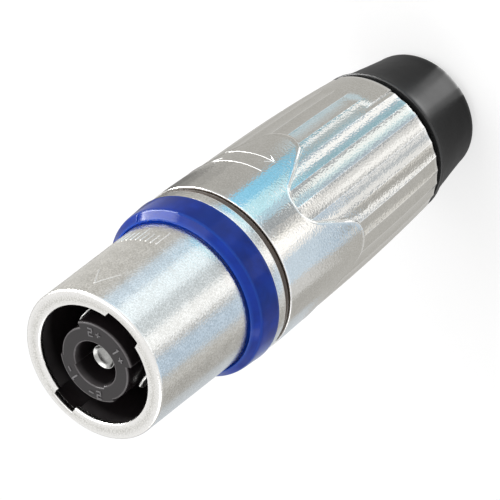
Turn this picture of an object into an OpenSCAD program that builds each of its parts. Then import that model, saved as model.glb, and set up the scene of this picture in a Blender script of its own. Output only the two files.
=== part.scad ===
// Four-pole locking cable socket for loudspeaker leads, standing on its rubber boot.
// All lengths are millimetres. The mating face points up, the cable leaves downwards.
// Inside a module, depths are measured from the mating face: depth d lies at height -d.

/* [Mating end] */

// Diameter of the core inside the opening
core_d = 14.5; // [13.5:0.1:16]
// Gap between the core and the metal rim, which the mating plug fills
plug_gap = 3; // [2.6:0.1:3.6]
// Width of the metal rim that the bayonet lugs lock behind
rim_w = 2.75; // [2.5:0.05:3.5]
// Thickness of the metal rim
rim_t = 1; // [0.8:0.1:1.4]
// Length of the plain barrel in front of the marking ring
barrel_len = 22.5; // [21:0.5:26]
// Width of the broad keyway in degrees
broad_key = 38; // [32:1:44]
// Width of the narrow keyway in degrees
narrow_key = 21; // [16:1:26]

/* [Contact core] */

// Diameter of the hole in the core
core_hole_d = 7.8; // [7:0.1:8.4]
// Diameter of the domed centre pin
pin_d = 3.5; // [3:0.1:4]
// Width of a contact blade
blade_w = 4.4; // [3.6:0.1:5]

/* [Marking ring] */

// How far the coloured ring stands out from the barrel
ring_out = 1.95; // [1.6:0.05:2.6]
// Length of the coloured ring along the axis
ring_len = 5.8; // [5:0.1:7]

/* [Grip] */

// How far the front edge of the grip stands out from the barrel
grip_out = 1.75; // [1.6:0.05:2.6]
// Length of the grip
grip_len = 43.8; // [43.2:0.1:48]
// Number of flutes around the grip
flute_count = 32; // [24:4:40]
// Depth of a flute
flute_depth = 0.35; // [0.15:0.05:0.4]
// Depth of the arched panels below the smooth body
panel_depth = 0.28; // [0.1:0.02:0.34]
// Distance from the grip's front edge to the crown of an arch
arch_start = 8.6; // [8:0.1:10]
// Distance that the smooth tongues reach past the crowns
tongue_len = 12; // [10.5:0.5:13]

/* [Boot] */

// Length of the rubber boot outside the grip
boot_len = 13.9; // [12:0.1:20]
// Opening for the cable
cable_d = 15; // [13:0.1:15.2]

/* [Screw travel] */

// Pitch of the grip thread
thread_pitch = 1.5; // [1:0.25:1.5]
// Turns from closed to released
thread_turns = 3; // [2:0.5:3]

/* [Hidden] */

$fn = 96;
eps = 0.01;

// Fits between the separate pieces
slide_fit = 0.05;
part_gap = 0.4;
block_gap = 0.3;

// Stations along the axis, measured down from the mating face
flange_t = 1.9;
seal_gap = 1.2;
neck_base = 11.3;
boot_groove = 1.2;
ring_at = barrel_len;
flange_at = ring_at + ring_len;
neck_at = flange_at + flange_t;
grip_at = neck_at + seal_gap;
travel = thread_pitch * thread_turns;
neck_end = neck_at + neck_base + travel;
grip_end = grip_at + grip_len;
boot_at = grip_end + boot_groove;
total_len = boot_at + boot_len;

// Front shell
shell_wall = 1.1;
mouth_r = core_d / 2 + plug_gap;
rim_r = mouth_r + rim_w;
shell_bore_r = rim_r - shell_wall;
keyway_r = shell_bore_r - 0.2;
ring_seat_r = rim_r - 0.5;
neck_r = rim_r - 0.25;
ring_r = rim_r + ring_out;
flange_r = ring_r - 0.35;
slot_w = 2.6;
barrel_arrow_at = -49.7;
barrel_arrow_tip = 3.2;
barrel_arrow_arm = 4.2;
barrel_arrow_line = 0.34;
barrel_arrow_spread = 28;

// Insert
liner_t = 1.25;
cup_wall = 3;
insert_r = shell_bore_r - slide_fit;
lug_groove_depth = 0.45;
lug_groove_len = 4.5;
lug_groove_r = insert_r - lug_groove_depth;
lug_groove_end = rim_t + lug_groove_len;
liner_r = insert_r - liner_t;
cup_step = 1.5;
cup_floor = ring_at + cup_step;
insert_end = cup_floor + cup_wall;
core_top = 0.5;
arc_drop = 0.55;
waist_drop = 1.35;
broad_arc_r = core_d / 2;
narrow_arc_r = core_d / 2 - arc_drop;
core_waist_r = core_d / 2 - waist_drop;
broad_arc_at = -81.4;
broad_arc_w = 98.6;
narrow_arc_at = 96.4;
narrow_arc_w = 114.2;
hole_r = core_hole_d / 2;
hole_floor = 9;
hole_step = 1.8;
hole_ledge = 0.45;
hole_relief_r = hole_r + 0.3;
hole_relief_at = 99.8;
hole_relief_w = 91;
pole_mark_angles = [-118, -98, -66, -46, 60, 82, 112, 134];
pin_r = pin_d / 2;
pin_tip = 1.7;
rivet_r = 1.2;
rivet_head_r = 2.6;
rivet_head_t = 1;
seal_t = 1.5;
seal_depth = 0.65;
seal_r = insert_r - seal_depth;
seal_back = cup_floor - 1;
seal_front = seal_back - seal_t;

// Contacts
blade_t = 0.8;
blade_gap = 0.45;
blade_in = core_waist_r + blade_gap;
blade_out = blade_in + blade_t;
outer_blade_in = liner_r - 0.95;
inner_tip = 4.5;
outer_tip = 6.5;
contact_tail = 9;
contact_end = insert_end + contact_tail;
inner_angle_a = 3.6;
inner_angle_b = 191.4;
tip_bevel_a = 0.8;
tip_bevel_b = 2;
outer_angle_a = -90;
outer_angle_b = 90;

// Terminal block with its clamps and screws
block_len = 12.5;
clamp_step = 2;
clamp_len = 8;
clamp_w = 5.6;
block_r = insert_r - 0.55;
block_end = insert_end + block_len;
clamp_in = blade_out;
clamp_out = block_r - 0.5;
clamp_top = insert_end + clamp_step;
clamp_end = clamp_top + clamp_len;
wire_at = (clamp_in + clamp_out) / 2;
wire_r = 1.4;
screw_at = clamp_top + clamp_len / 2;
screw_r = 1.2;
screw_head_r = 1.9;
screw_head_t = 0.75;
screw_slot_w = 0.5;
screw_slot_t = 0.4;

// Cable chuck
chuck_wall = 2.4;
finger_len = 21;
finger_straight = 12;
finger_t = 3.6;
chuck_at = block_end + block_gap;
chuck_r = shell_bore_r - 0.07;
chuck_bore_r = shell_bore_r - chuck_wall;
slot_front = chuck_at;
key_w = slot_w - 0.8;
key_r = neck_r - 0.3;
key_front = slot_front + 0.5;
key_back = neck_end - 1;
finger_at = neck_end;
finger_r = shell_bore_r - 0.3;
finger_bore_r = finger_r - finger_t;
finger_cone = finger_at + finger_straight;
finger_end = finger_at + finger_len;
finger_tip_r = finger_r - 1.7;
finger_count = 6;
finger_slit = 1.8;
tooth_pitch = 2.4;
tooth_gap = 1.2;
tooth_depth = 0.5;
gland_step = 0.6;
gland_r = finger_bore_r - 0.4;
gland_front = chuck_at + gland_step;

// Grip shell
waist_in = 0.79;
rear_in = 1.75;
grip_r = rim_r + grip_out;
waist_at = grip_at + 0.7 * grip_len;
waist_r = grip_r - waist_in;
rear_r = grip_r - rear_in;
side_taper = (grip_r - waist_r) / (waist_at - grip_at);
arrow_depth = 0.15;
arrow_line = 0.35;
arrow_head = 1.6;
arrow_spread = 35;
arrow_rows = [9.6, 13];
arrow_middle = -47;
arrow_sweep = 38;
grip_bore_r = neck_r + slide_fit;
finger_room_r = shell_bore_r + 0.2;
seat_cone = finger_cone + part_gap;
seat_end = finger_end + 0.5;
seat_r = finger_room_r - 1.8;
arch_pitch = 90;
arch_shift = -99.7;
arch_crown_r = 4.3;
tongue_r = 3;
tongue_x = 10;
flank_bite = 0.04;
pad_len = 6.6;
pad_front = grip_len - pad_len;
pad_at = -51;
pad_w = 45;
flute_pitch = 360 / flute_count;
flute_chord = 2.6;
flute_r = flute_chord * flute_chord / (8 * flute_depth) + flute_depth / 2;

// Boot
boot_in = 2.15;
lip_rise = 1.1;
bead_step = 1.4;
bead_len = 1.5;
bead_out = 0.6;
lip_len = 6;
clip_t = 0.6;
clip_slit = 1.6;
boot_r = rear_r - panel_depth + 0.03;
boot_end_r = boot_r - boot_in;
groove_r = boot_r - 1.48;
bead_r = seat_r + bead_out;
bead_front = seat_end + bead_step;
bead_back = bead_front + bead_len;
boot_hollow_r = cable_d / 2 + lip_rise;
boot_round = 0.84 * (boot_end_r - cable_d / 2);

// Moves a piece drawn from the mating face downwards to its place on the stand
module from_face() {
  translate([0, 0, total_len])
    children();
}

// Ring between two radii and two depths
module ring(r_in, r_out, front, back) {
  translate([0, 0, -back])
    difference() {
      cylinder(r = r_out, h = back - front);
      translate([0, 0, -eps])
        cylinder(r = r_in, h = back - front + 2 * eps);
    }
}

// Solid disc or shaft between two depths
module shaft(r, front, back) {
  translate([0, 0, -back])
    cylinder(r = r, h = back - front);
}

// Part of a ring, centred on an angle
module sector(r_in, r_out, front, back, middle, width) {
  translate([0, 0, -back])
    rotate([0, 0, middle - width / 2])
      rotate_extrude(angle = width)
        translate([r_in, 0])
          square([r_out - r_in, back - front]);
}

// Box that starts at a radius and is centred across it
module radial_box(r_in, r_out, width, front, back) {
  translate([r_in, -width / 2, -back])
    cube([r_out - r_in, width, back - front]);
}

// Plated front housing

module shell_profile() {
  polygon([
    [mouth_r, -0.25], [mouth_r + 0.3, 0], [rim_r - 0.55, 0], [rim_r - 0.05, -0.5],
    [rim_r + 0.05, -ring_at], [ring_seat_r, -ring_at], [ring_seat_r, -flange_at],
    [flange_r - 0.25, -flange_at], [flange_r, -flange_at - 0.25],
    [flange_r, -neck_at + 0.35], [flange_r - 0.35, -neck_at], [neck_r, -neck_at],
    [neck_r, -neck_end + 0.5], [neck_r - 0.4, -neck_end], [shell_bore_r, -neck_end],
    [shell_bore_r, -rim_t], [mouth_r, -rim_t]
  ]);
}

// Arrowhead engraved in the barrel that shows where the broad keyway starts
module barrel_arrow() {
  rotate([0, 0, barrel_arrow_at])
    for (side = [-1, 1])
      translate([rim_r - 0.12, 0, -barrel_arrow_tip])
        rotate([side * barrel_arrow_spread, 0, 0])
          translate([0, -barrel_arrow_line / 2, -barrel_arrow_arm])
            cube([1, barrel_arrow_line, barrel_arrow_arm]);
}

module front_shell() {
  color("silver")
    from_face()
      difference() {
        rotate_extrude()
          shell_profile();
        sector(mouth_r - 1, keyway_r, -eps, rim_t + eps, outer_angle_a, broad_key);
        sector(mouth_r - 1, keyway_r, -eps, rim_t + eps, outer_angle_b, narrow_key);
        for (turn = [0, 180])
          rotate([0, 0, turn])
            radial_box(shell_bore_r - 1, rim_r, slot_w, slot_front, neck_end + eps);
        barrel_arrow();
      }
}

// Coloured ring clipped in front of the flange
module marking_ring() {
  color("blue")
    from_face()
      rotate_extrude()
        polygon([
          [ring_seat_r, -ring_at], [rim_r + 0.1, -ring_at], [rim_r + 0.6, -ring_at - 0.2],
          [ring_r - 0.7, -ring_at - 1.9], [ring_r - 0.5, -ring_at - 2.3],
          [ring_r, -flange_at + 0.4], [ring_r - 0.3, -flange_at],
          [ring_seat_r, -flange_at]
        ]);
}

// Rubber ring that closes the joint between housing and grip
module neck_seal() {
  color("dimgray")
    from_face()
      ring(neck_r, flange_r - 0.8, neck_at, grip_at - 0.3);
}

// Contact insert

module cup_profile() {
  polygon([
    [0, -insert_end], [insert_r, -insert_end], [insert_r, -rim_t],
    [lug_groove_r, -rim_t], [lug_groove_r, -lug_groove_end],
    [liner_r, -lug_groove_end - 0.4], [liner_r, -cup_floor], [0, -cup_floor]
  ]);
}

// Wedge with its point on the axis
module wedge(middle, width) {
  reach = core_d;
  polygon([
    [0, 0],
    [reach * cos(middle - width / 2), reach * sin(middle - width / 2)],
    [2 * reach * cos(middle), 2 * reach * sin(middle)],
    [reach * cos(middle + width / 2), reach * sin(middle + width / 2)]
  ]);
}

// Two contact blades stand free in the gaps between the broad and the narrow arc
module core_plan() {
  circle(r = core_waist_r);
  intersection() {
    circle(r = broad_arc_r);
    wedge(broad_arc_at, broad_arc_w);
  }
  intersection() {
    circle(r = narrow_arc_r);
    wedge(narrow_arc_at, narrow_arc_w);
  }
}

module core() {
  translate([0, 0, -cup_floor - 1])
    linear_extrude(height = cup_floor + 1 - core_top)
      core_plan();
}

// Small bars on the core face that mark the four poles
module pole_marks() {
  for (mark = pole_mark_angles)
    rotate([0, 0, mark])
      radial_box(hole_r + 0.8, core_waist_r - 0.2, 0.4, core_top - 0.12, core_top + 0.3);
}

// The hole is wider over a quarter of its rim
module hole_relief() {
  sector(hole_r - 1, hole_relief_r, core_top - 1, core_top + hole_step, hole_relief_at, hole_relief_w);
}

module contact_insert() {
  color([0.13, 0.13, 0.14])
    from_face()
      difference() {
        union() {
          rotate_extrude()
            cup_profile();
          core();
          pole_marks();
        }
        shaft(hole_r, core_top - 1, core_top + hole_step);
        shaft(hole_r - hole_ledge, core_top, hole_floor);
        hole_relief();
        shaft(rivet_r, hole_floor - 1, insert_end + 1);
        ring(seal_r, insert_r + 1, seal_front, seal_back);
        all_contacts();
      }
}

// Rubber ring around the insert
module insert_seal() {
  color([0.25, 0.25, 0.25])
    from_face()
      ring(seal_r, shell_bore_r, seal_front, seal_back);
}

// Inner contact: a straight blade from the core down into its clamp
module inner_contact(angle, bevel) {
  rotate([0, 0, angle])
    difference() {
      radial_box(blade_in, blade_out, blade_w, inner_tip, contact_end);
      for (side = [-1, 1])
        translate([blade_in - 1, side * blade_w / 2, -inner_tip])
          rotate([45, 0, 0])
            translate([0, -bevel / 2, -bevel / 2])
              cube([blade_t + 2, bevel, bevel]);
    }
}

// Outer contact: a blade at the liner that steps inwards behind the insert
module outer_contact(angle) {
  rotate([0, 0, angle]) {
    radial_box(outer_blade_in, outer_blade_in + blade_t, blade_w, outer_tip, insert_end + blade_t);
    radial_box(blade_in, outer_blade_in + blade_t, blade_w, insert_end, insert_end + blade_t);
    radial_box(blade_in, blade_out, blade_w, insert_end, contact_end);
  }
}

module all_contacts() {
  inner_contact(inner_angle_a, tip_bevel_a);
  inner_contact(inner_angle_b, tip_bevel_b);
  outer_contact(outer_angle_a);
  outer_contact(outer_angle_b);
}

module contact_1p() {
  color("silver")
    from_face()
      inner_contact(inner_angle_a, tip_bevel_a);
}

module contact_1n() {
  color("silver")
    from_face()
      inner_contact(inner_angle_b, tip_bevel_b);
}

module contact_2p() {
  color("silver")
    from_face()
      outer_contact(outer_angle_a);
}

module contact_2n() {
  color("silver")
    from_face()
      outer_contact(outer_angle_b);
}

// Rivet with the domed tip that is seen in the core hole
module centre_rivet() {
  color("gainsboro")
    from_face() {
      shaft(pin_r, pin_tip + pin_r, hole_floor);
      translate([0, 0, -pin_tip - pin_r])
        difference() {
          sphere(r = pin_r);
          translate([0, 0, -pin_r - 1])
            cylinder(r = pin_r + 1, h = pin_r + 1);
        }
      shaft(rivet_r, hole_floor, block_end);
      shaft(rivet_head_r, block_end, block_end + rivet_head_t);
    }
}

// Terminals behind the insert

// Everything that one pole takes out of the terminal block
module pole_pocket(angle) {
  rotate([0, 0, angle]) {
    radial_box(clamp_in, block_r + 1, clamp_w, clamp_top, clamp_end);
    radial_box(blade_in, clamp_in + eps, blade_w, insert_end - eps, contact_end);
    translate([wire_at, 0, -block_end - eps])
      cylinder(r = wire_r + 0.4, h = block_end - clamp_end + 2 * eps);
  }
}

module terminal_block() {
  color([0.3, 0.3, 0.32])
    from_face()
      difference() {
        shaft(block_r, insert_end, block_end);
        pole_pocket(inner_angle_a);
        pole_pocket(inner_angle_b);
        pole_pocket(outer_angle_a);
        pole_pocket(outer_angle_b);
        for (turn = [outer_angle_a, outer_angle_b])
          rotate([0, 0, turn])
            radial_box(blade_in, outer_blade_in + blade_t, blade_w, insert_end - eps, insert_end + blade_t);
        shaft(rivet_r, insert_end - 1, block_end + 1);
      }
}

module clamp_at(angle) {
  rotate([0, 0, angle])
    difference() {
      radial_box(clamp_in, clamp_out, clamp_w, clamp_top, clamp_end);
      translate([wire_at, 0, -clamp_end - eps])
        cylinder(r = wire_r, h = clamp_end - clamp_top + 2 * eps);
      translate([wire_at, 0, -screw_at])
        rotate([0, 90, 0])
          cylinder(r = screw_r, h = clamp_out - wire_at + 1);
    }
}

module screw_at_pole(angle) {
  rotate([0, 0, angle])
    translate([0, 0, -screw_at])
      difference() {
        union() {
          translate([wire_at, 0, 0])
            rotate([0, 90, 0])
              cylinder(r = screw_r, h = clamp_out - wire_at);
          translate([clamp_out, 0, 0])
            rotate([0, 90, 0])
              cylinder(r = screw_head_r, h = screw_head_t);
        }
        translate([clamp_out + screw_head_t - screw_slot_t, -screw_head_r - 1, -screw_slot_w / 2])
          cube([1, 2 * screw_head_r + 2, screw_slot_w]);
      }
}

module clamp_1p() {
  color("goldenrod")
    from_face()
      clamp_at(inner_angle_a);
}

module clamp_1n() {
  color("goldenrod")
    from_face()
      clamp_at(inner_angle_b);
}

module clamp_2p() {
  color("goldenrod")
    from_face()
      clamp_at(outer_angle_a);
}

module clamp_2n() {
  color("goldenrod")
    from_face()
      clamp_at(outer_angle_b);
}

module screw_1p() {
  color("gray")
    from_face()
      screw_at_pole(inner_angle_a);
}

module screw_1n() {
  color("gray")
    from_face()
      screw_at_pole(inner_angle_b);
}

module screw_2p() {
  color("gray")
    from_face()
      screw_at_pole(outer_angle_a);
}

module screw_2n() {
  color("gray")
    from_face()
      screw_at_pole(outer_angle_b);
}

// Cable chuck with clamping fingers

module chuck_profile() {
  polygon([
    [chuck_bore_r, -chuck_at], [chuck_r - 0.3, -chuck_at], [chuck_r, -chuck_at - 0.3],
    [chuck_r, -finger_at], [finger_r, -finger_at - 0.3], [finger_r, -finger_cone],
    [finger_tip_r, -finger_end], [finger_bore_r, -finger_end],
    [finger_bore_r, -finger_at], [chuck_bore_r, -finger_at]
  ]);
}

// Groove between two of the teeth that bite into the cable
module tooth_groove(back) {
  ring(finger_bore_r - 1, finger_bore_r + tooth_depth, back - tooth_gap, back);
}

module cable_chuck() {
  color("ivory")
    from_face()
      difference() {
        union() {
          rotate_extrude()
            chuck_profile();
          for (turn = [0, 180])
            rotate([0, 0, turn])
              radial_box(chuck_r - 1, key_r, key_w, key_front, key_back);
        }
        for (finger = [0 : finger_count - 1])
          rotate([0, 0, finger * 360 / finger_count + 30])
            radial_box(finger_bore_r - 1, finger_r + 1, finger_slit, finger_at + 2, finger_end + 1);
        for (tooth = [1 : 5])
          tooth_groove(finger_end + 0.6 - tooth_pitch * tooth);
      }
}

// Rubber sleeve that seals on the cable
module gland_seal() {
  color([0.2, 0.2, 0.2])
    from_face()
      ring(gland_r, chuck_bore_r, gland_front, finger_at);
}

// Turning grip

// Outline of the grip, shifted inwards by a chosen amount
module grip_outline(inset) {
  polygon([
    [0, -grip_at], [grip_r - 0.4 - inset, -grip_at], [grip_r - inset, -grip_at - 0.4],
    [waist_r - inset, -waist_at], [rear_r + 0.02 - inset, -grip_end + 0.3],
    [rear_r - 0.28 - inset, -grip_end], [0, -grip_end]
  ]);
}

// Shape of one arched panel: a round crown, straight flanks and hollow tongue corners.
// The flanks run just inside both circles, and the lower part overlaps the next panel.
module panel_shape() {
  crown_y = -arch_start - arch_crown_r;
  tongue_y = -arch_start - tongue_len + tongue_r;
  span = sqrt(tongue_x * tongue_x + (tongue_y - crown_y) * (tongue_y - crown_y));
  flank = acos((arch_crown_r + tongue_r) / span) + atan2(tongue_y - crown_y, tongue_x);
  near_x = (arch_crown_r - flank_bite) * cos(flank);
  near_y = crown_y + (arch_crown_r - flank_bite) * sin(flank);
  far_x = tongue_x - (tongue_r - flank_bite) * cos(flank);
  far_y = tongue_y - (tongue_r - flank_bite) * sin(flank);
  wide_x = tongue_x + 1;
  translate([0, crown_y])
    circle(r = arch_crown_r);
  difference() {
    polygon([
      [-near_x, near_y], [near_x, near_y], [far_x, far_y], [wide_x, far_y],
      [wide_x, -grip_len - 1], [-wide_x, -grip_len - 1], [-wide_x, far_y],
      [-far_x, far_y]
    ]);
    for (side = [-1, 1])
      translate([side * tongue_x, tongue_y])
        circle(r = tongue_r);
  }
}

// The four panels as windows that reach outwards from the axis
module panel_windows() {
  for (panel = [0 : 3])
    rotate([0, 0, arch_shift + panel * arch_pitch])
      translate([0, 0, -grip_at])
        rotate([0, 0, 90])
          rotate([90, 0, 0])
            linear_extrude(height = grip_r + 2)
              panel_shape();
}

// One flute: two round bars that follow the two tapers of the grip
module flute_bar(r_front, r_back, front, back) {
  run = back - front;
  lean = atan2(r_front - r_back, run);
  translate([r_front - panel_depth - flute_depth + flute_r, 0, -front])
    rotate([0, lean, 0])
      translate([0, 0, -run / cos(lean) - 1])
        cylinder(r = flute_r, h = run / cos(lean) + 2);
}

module flutes() {
  for (flute = [0 : flute_count - 1])
    rotate([0, 0, arch_shift + (flute + 0.5) * flute_pitch]) {
      flute_bar(grip_r, waist_r, grip_at, waist_at);
      flute_bar(waist_r, rear_r, waist_at, grip_end);
    }
}

// Two smooth pads at the rear edge that the flutes stop at
module rear_pads() {
  for (turn = [0, 180])
    sector(rear_r - 3, grip_r + 3, grip_at + pad_front, grip_end + 1, pad_at + turn, pad_w);
}

// Material that is taken off inside the panels
module panel_cut() {
  difference() {
    intersection() {
      panel_windows();
      ring(seat_r, grip_r + 1, grip_at + 1, grip_end + 1);
    }
    difference() {
      rotate_extrude()
        grip_outline(panel_depth);
      flutes();
    }
    rear_pads();
  }
}

// Engraved lines with arrowheads that show how the grip is turned
module turn_arrows() {
  for (row = [0, 1]) {
    depth = grip_at + arrow_rows[row];
    floor_r = grip_r - side_taper * arrow_rows[row] - arrow_depth;
    tip = arrow_middle + (row == 0 ? 1 : -1) * (arrow_sweep / 2 + 0.6);
    sector(floor_r, grip_r + 1, depth, depth + arrow_line, arrow_middle, arrow_sweep);
    rotate([0, 0, tip])
      for (side = [-1, 1])
        translate([floor_r, 0, -depth - arrow_line / 2])
          rotate([side * arrow_spread + row * 180, 0, 0])
            translate([0, -arrow_head, -arrow_line / 2])
              cube([1.5, arrow_head + arrow_line, arrow_line]);
  }
}

module grip_bore() {
  polygon([
    [0, -grip_at + 1], [grip_bore_r, -grip_at + 1], [grip_bore_r, -neck_end - part_gap],
    [finger_room_r, -neck_end - part_gap - 0.6], [finger_room_r, -seat_cone],
    [seat_r, -seat_end], [seat_r, -bead_front], [bead_r, -bead_front],
    [bead_r, -bead_back], [seat_r, -bead_back], [seat_r, -grip_end - 1],
    [0, -grip_end - 1]
  ]);
}

module grip_shell() {
  color("silver")
    from_face()
      difference() {
        rotate_extrude()
          grip_outline(0);
        rotate_extrude()
          grip_bore();
        panel_cut();
        turn_arrows();
      }
}

// Rubber boot

module boot_profile() {
  round_x = boot_end_r - boot_round;
  round_y = -total_len + boot_round;
  polygon(concat(
    [
      [boot_hollow_r, -seat_end - 0.6], [seat_r, -seat_end - 0.6], [seat_r, -bead_front],
      [bead_r, -bead_front], [bead_r, -bead_back], [seat_r, -bead_back],
      [seat_r, -grip_end], [groove_r, -grip_end], [groove_r, -boot_at],
      [boot_r - 0.3, -boot_at], [boot_r, -boot_at - 0.3]
    ],
    [for (a = [0 : 15 : 90]) [round_x + boot_round * cos(a), round_y - boot_round * sin(a)]],
    [
      [cable_d / 2, -total_len], [cable_d / 2, -total_len + lip_len - boot_hollow_r + cable_d / 2],
      [boot_hollow_r, -total_len + lip_len]
    ]
  ));
}

module boot() {
  color([0.12, 0.12, 0.12])
    from_face()
      rotate_extrude()
        boot_profile();
}

// Spring ring that holds the boot in the grip
module boot_clip() {
  color("lightsteelblue")
    from_face()
      difference() {
        ring(boot_hollow_r - clip_t, boot_hollow_r, seat_end + 1.2, grip_end - 1);
        radial_box(boot_hollow_r - 2, boot_hollow_r + 1, clip_slit, seat_end, grip_end);
      }
}

front_shell();
marking_ring();
neck_seal();
contact_insert();
insert_seal();
terminal_block();
centre_rivet();
contact_1p();
contact_1n();
contact_2p();
contact_2n();
clamp_1p();
clamp_1n();
clamp_2p();
clamp_2n();
screw_1p();
screw_1n();
screw_2p();
screw_2n();
cable_chuck();
gland_seal();
grip_shell();
boot();
boot_clip();
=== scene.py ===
import math
from functools import cache

import bmesh
import bpy
from mathutils import Matrix, Vector


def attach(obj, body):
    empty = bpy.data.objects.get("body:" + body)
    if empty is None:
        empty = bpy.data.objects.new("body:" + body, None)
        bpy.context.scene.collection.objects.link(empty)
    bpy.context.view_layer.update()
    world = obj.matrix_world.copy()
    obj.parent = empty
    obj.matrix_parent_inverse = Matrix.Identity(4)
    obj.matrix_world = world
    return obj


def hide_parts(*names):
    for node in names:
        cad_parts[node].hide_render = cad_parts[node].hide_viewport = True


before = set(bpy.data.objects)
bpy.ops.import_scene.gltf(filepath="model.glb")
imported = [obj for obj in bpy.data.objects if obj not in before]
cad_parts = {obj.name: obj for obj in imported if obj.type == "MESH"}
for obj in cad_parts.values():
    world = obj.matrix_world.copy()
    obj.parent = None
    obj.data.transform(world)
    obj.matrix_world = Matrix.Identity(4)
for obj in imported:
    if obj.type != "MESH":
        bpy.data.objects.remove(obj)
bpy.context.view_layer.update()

# Lengths are millimetres and depths are measured from the mating face, as in the part's source
MM = 0.001
TOTAL_LEN = 90.3
# Angle of the side that faces the camera, in degrees
FACING = -98.7

# Depths along the housing, the grip and the boot
RING_AT, FLANGE_AT, NECK_AT, THREAD_END, NECK_END = 22.5, 28.3, 30.2, 39.8, 46.0
GRIP_AT, GRIP_END, BOOT_AT = 31.4, 75.2, 76.4
BEAD_FRONT, BEAD_BACK, BOOT_FRONT = 68.9, 70.4, 68.1
# Radii of the housing and of what sits on it
MOUTH_R, KEYWAY_R, BORE_R = 10.25, 11.45, 11.9
SEAT_R, NECK_R, FLANGE_R, RING_R, NECK_SEAL_R = 12.5, 12.75, 14.74, 14.95, 14.5
# Contact insert with its core, and the contact blades
INSERT_R, LUG_R, LINER_R = 11.85, 11.4, 10.6
INSERT_AT, CUP_FLOOR, INSERT_END = 1.0, 24.0, 27.0
CORE_TOP, BROAD_R, NARROW_R, WAIST_R, HOLE_R = 0.5, 7.25, 6.7, 6.3, 3.9
BLADE_IN, BLADE_OUT, BLADE_W, CONTACT_END = 6.35, 7.15, 4.4, 36.0
# Hollow of the boot, and where the boot is held in the grip
BOOT_HOLLOW_R, GRIP_SEAT_R, BEAD_R = 8.6, 10.3, 10.9


# Shapes

def lathe(profile, steps=360, closed=False, angle=360.0, start=0.0):
    """Spins a line of (radius, depth) points round the axis."""
    bm = bmesh.new()
    turn = math.radians(start)
    line = [bm.verts.new((r * math.cos(turn), r * math.sin(turn), -d)) for r, d in profile]
    edges = [bm.edges.new(pair) for pair in zip(line, line[1:])]
    if closed:
        edges.append(bm.edges.new((line[-1], line[0])))
    whole = angle >= 360.0
    geometry = line + edges
    if not whole:
        geometry.append(bm.faces.new(line))
    bmesh.ops.spin(bm, geom=geometry, cent=(0, 0, 0), axis=(0, 0, 1), dvec=(0, 0, 0),
                   angle=math.radians(angle), steps=steps, use_merge=whole, use_duplicate=False)
    return bm


def shaped_tube(rows, steps, place):
    """Spins a closed strip of rows, then moves each vertex to the place that its row and column give."""
    bm = lathe([(1.0, row) for row in range(rows)], steps, closed=True)
    step = 2 * math.pi / steps
    for vert in bm.verts:
        row = round(-vert.co.z)
        column = round(math.atan2(vert.co.y, vert.co.x) / step) % steps
        radius, depth, angle = place(row, column)
        vert.co = (radius * math.cos(angle), radius * math.sin(angle), -depth)
    return bm


def bar(size, centre, bevel):
    """Box of the given size with rounded edges."""
    bm = bmesh.new()
    bmesh.ops.create_cube(bm, size=1.0)
    bmesh.ops.scale(bm, vec=size, verts=bm.verts)
    bmesh.ops.translate(bm, vec=centre, verts=bm.verts)
    bmesh.ops.bevel(bm, geom=bm.edges[:], offset=bevel, offset_type="OFFSET", segments=2, profile=0.5,
                    affect="EDGES", material=-1)
    return bm


def join(*parts):
    """Puts several bmeshes into the first one."""
    whole = parts[0]
    for part in parts[1:]:
        mesh = bpy.data.meshes.new("part")
        part.to_mesh(mesh)
        part.free()
        whole.from_mesh(mesh)
        bpy.data.meshes.remove(mesh)
    return whole


def turned(bm, degrees, axis="Z"):
    """Turns a bmesh round an axis through the origin."""
    turn = Matrix.Rotation(math.radians(degrees), 3, axis)
    bmesh.ops.rotate(bm, cent=(0, 0, 0), matrix=turn, verts=bm.verts)
    return bm


def mark_edges(bm):
    """Stores how sharply the surface bends outwards at each vertex, for the painted highlight along edges."""
    highlight_layer = bm.verts.layers.float.new("edge_highlight")
    bm.normal_update()
    for vert in bm.verts:
        bend = 0.0
        for edge in vert.link_edges:
            run = edge.other_vert(vert).co - vert.co
            bend = max(bend, -2 * vert.normal.dot(run) / run.length_squared)
        vert[highlight_layer] = smooth_step(bend - 0.5)


def add_piece(name, bm, body, finish, stands_for=(), crease=32.0):
    """Cleans a bmesh, lifts it from the mating face to the row frame and hangs it on its body."""
    bmesh.ops.remove_doubles(bm, verts=bm.verts, dist=1e-4)
    bmesh.ops.recalc_face_normals(bm, faces=bm.faces)
    mark_edges(bm)
    bmesh.ops.translate(bm, vec=(0, 0, TOTAL_LEN), verts=bm.verts)
    bmesh.ops.scale(bm, vec=(MM, MM, MM), verts=bm.verts)
    mesh = bpy.data.meshes.new(name)
    bm.to_mesh(mesh)
    bm.free()
    mesh.shade_smooth()
    mesh.set_sharp_from_angle(angle=math.radians(crease))
    mesh.materials.append(finish)
    piece = bpy.data.objects.new(name, mesh)
    bpy.context.scene.collection.objects.link(piece)
    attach(piece, body)
    if stands_for:
        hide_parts(*stands_for)


def smooth_step(x):
    """Goes from 0 to 1 with soft ends."""
    x = min(max(x, 0.0), 1.0)
    return x * x * (3 - 2 * x)


def curve_value(points, x):
    """Smooth curve through (x, y) points."""
    if x <= points[0][0]:
        return points[0][1]
    if x >= points[-1][0]:
        return points[-1][1]
    i = next(k for k in range(len(points) - 1) if points[k + 1][0] >= x)
    (x0, y0), (x1, y1) = points[i], points[i + 1]
    before = points[max(i - 1, 0)]
    after = points[min(i + 2, len(points) - 1)]
    m0 = (y1 - before[1]) / (x1 - before[0])
    m1 = (after[1] - y0) / (after[0] - x0)
    h = x1 - x0
    t = (x - x0) / h
    return ((2 * t ** 3 - 3 * t ** 2 + 1) * y0 + (t ** 3 - 2 * t ** 2 + t) * h * m0
            + (-2 * t ** 3 + 3 * t ** 2) * y1 + (t ** 3 - t ** 2) * h * m1)


# Shader groups

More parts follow.
